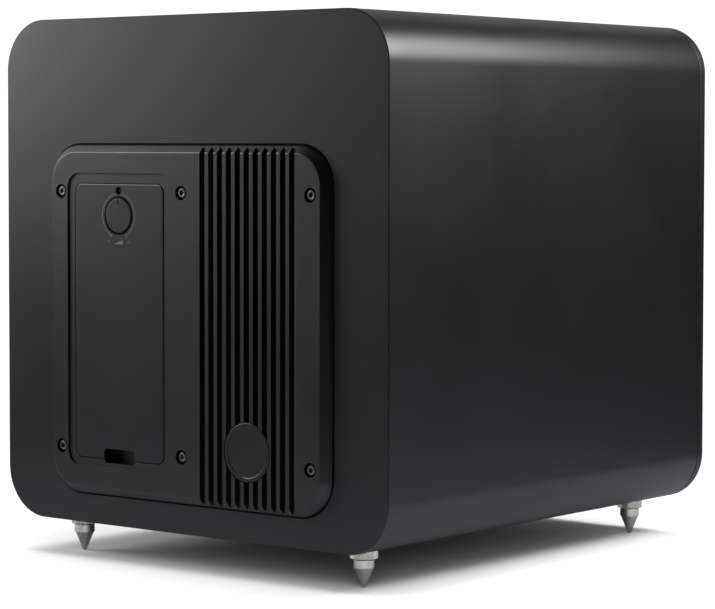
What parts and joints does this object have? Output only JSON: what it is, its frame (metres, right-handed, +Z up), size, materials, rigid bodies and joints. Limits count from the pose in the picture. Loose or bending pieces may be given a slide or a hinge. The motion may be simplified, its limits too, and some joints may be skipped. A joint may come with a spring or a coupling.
{
  "type": "powered subwoofer",
  "caption": "Compact powered subwoofer: rounded cabinet on adjustable spikes, front driver, rear amplifier plate with cooling slots, level knob and a lift-off cover.",
  "frame": {"origin": "centre of the bounding box in X and Y, at the level of the spike tips", "axes": "+Z up, +Y towards the rear face with the amplifier plate, -Y towards the driver; +X is the left-hand side of someone who faces the rear plate from behind"},
  "size_m": [0.27, 0.3, 0.2944],
  "materials": {
    "cabinet": "dark grey satin paint over wood fibre board",
    "baffle": "dark grey satin paint over wood fibre board",
    "mdf": "raw fibre board",
    "foam": "grey polyester wadding",
    "plate": "black anodised, fine bead-blasted",
    "cover": "dark grey satin paint",
    "seal": "matt black",
    "badge": "brushed, plain",
    "nickel": "bright nickel",
    "plastic": "moulded black",
    "rocker": "moulded black, semi-gloss",
    "zinc": "zinc-plated steel",
    "knob": "black, satin, fine knurled edge",
    "lens": "dark red translucent",
    "chassis": "black powder coat",
    "board": "green lacquer",
    "copper": "enamelled wire winding",
    "frame": "black powder-coated die casting",
    "ferrite": "dark grey ferrite",
    "cone": "dark pressed fibre, satin",
    "surround": "matt black rubber",
    "spider": "resin-treated cloth",
    "screw": "black oxide",
    "spike": "satin nickel"
  },
  "bodies": {
    "cabinet": {"cabinet_shell": "cabinet", "front_baffle": "baffle", "cabinet_brace": "mdf", "damping_pad_top": "foam", "amp_plate": "plate", "amp_gasket": "seal", "badge_disc": "badge", "control_well": "plastic", "mains_inlet": "plastic", "rca_jack_left": "nickel", "rca_jack_right": "nickel", "trigger_jack": "nickel", "crossover_pot": "zinc", "phase_switch": "zinc", "level_pot": "zinc", "led_lens": "lens", "amp_enclosure": "chassis", "amp_pcb": "board", "mains_transformer": "copper", "reservoir_capacitor": "plastic", "driver_basket": "frame", "magnet_top_plate": "zinc", "driver_magnet": "ferrite", "magnet_yoke": "zinc", "surround": "surround", "driver_gasket": "seal", "spider": "spider", "driver_terminal": "plastic", "speaker_lead": "plastic", "amp_screw_1": "screw", "driver_screw_1": "screw", "amp_screw_2": "screw", "driver_screw_2": "screw", "amp_screw_3": "screw", "driver_screw_3": "screw", "amp_screw_4": "screw", "driver_screw_4": "screw", "amp_screw_5": "screw", "driver_screw_5": "screw", "amp_screw_6": "screw", "driver_screw_6": "screw"},
    "cover": {"cover_panel": "cover", "cover_magnet_lower": "nickel", "cover_magnet_upper": "nickel"},
    "rocker": {"power_rocker": "rocker"},
    "crossover_dial": {"crossover_knob": "knob"},
    "phase_slider": {"phase_slider": "rocker"},
    "level_dial": {"level_knob": "knob"},
    "cone_assembly": {"voice_coil": "copper", "cone": "cone", "dust_cap": "cone"},
    "spike_front_left": {"spike_front_left": "spike"},
    "nut_front_left": {"lock_nut_front_left": "spike"},
    "spike_front_right": {"spike_front_right": "spike"},
    "nut_front_right": {"lock_nut_front_right": "spike"},
    "spike_rear_left": {"spike_rear_left": "spike"},
    "nut_rear_left": {"lock_nut_rear_left": "spike"},
    "spike_rear_right": {"spike_rear_right": "spike"},
    "nut_rear_right": {"lock_nut_rear_right": "spike"}
  },
  "joints": [
    {"name": "level_knob_turn", "type": "hinge", "parent": "cabinet", "child": "level_dial", "pos_m": [0.0457, 0.14, 0.1882], "axis": [0, 1, 0], "range_deg": [-150, 150]},
    {"name": "crossover_knob_turn", "type": "hinge", "parent": "cabinet", "child": "crossover_dial", "pos_m": [0.0337, 0.106, 0.1424], "axis": [0, 1, 0], "range_deg": [-150, 150]},
    {"name": "phase_slide", "type": "slide", "parent": "cabinet", "child": "phase_slider", "axis": [0, 0, 1], "range_m": [0, 0.005]},
    {"name": "power_rocker_tilt", "type": "hinge", "parent": "cabinet", "child": "rocker", "pos_m": [0.0297, 0.099, 0.0824], "axis": [1, 0, 0], "range_deg": [-16, 0]},
    {"name": "cover_lift_off", "type": "slide", "parent": "cabinet", "child": "cover", "axis": [0, 1, 0], "range_m": [0, 0.03]},
    {"name": "cone_stroke", "type": "slide", "parent": "cabinet", "child": "cone_assembly", "axis": [0, 1, 0], "range_m": [-0.008, 0.008], "stiffness_N_per_m": 2800},
    {"name": "spike_front_left_height", "type": "slide", "parent": "cabinet", "child": "spike_front_left", "axis": [0, 0, -1], "range_m": [0, 0.006]},
    {"name": "lock_nut_front_left_turn", "type": "hinge", "parent": "cabinet", "child": "nut_front_left", "pos_m": [0.1, -0.126, 0.0176], "axis": [0, 0, 1], "continuous": true},
    {"name": "spike_front_right_height", "type": "slide", "parent": "cabinet", "child": "spike_front_right", "axis": [0, 0, -1], "range_m": [0, 0.006]},
    {"name": "lock_nut_front_right_turn", "type": "hinge", "parent": "cabinet", "child": "nut_front_right", "pos_m": [-0.1, -0.126, 0.0176], "axis": [0, 0, 1], "continuous": true},
    {"name": "spike_rear_left_height", "type": "slide", "parent": "cabinet", "child": "spike_rear_left", "axis": [0, 0, -1], "range_m": [0, 0.006]},
    {"name": "lock_nut_rear_left_turn", "type": "hinge", "parent": "cabinet", "child": "nut_rear_left", "pos_m": [0.1, 0.121, 0.0176], "axis": [0, 0, 1], "continuous": true},
    {"name": "spike_rear_right_height", "type": "slide", "parent": "cabinet", "child": "spike_rear_right", "axis": [0, 0, -1], "range_m": [0, 0.006]},
    {"name": "lock_nut_rear_right_turn", "type": "hinge", "parent": "cabinet", "child": "nut_rear_right", "pos_m": [-0.1, 0.121, 0.0176], "axis": [0, 0, 1], "continuous": true}
  ]
}
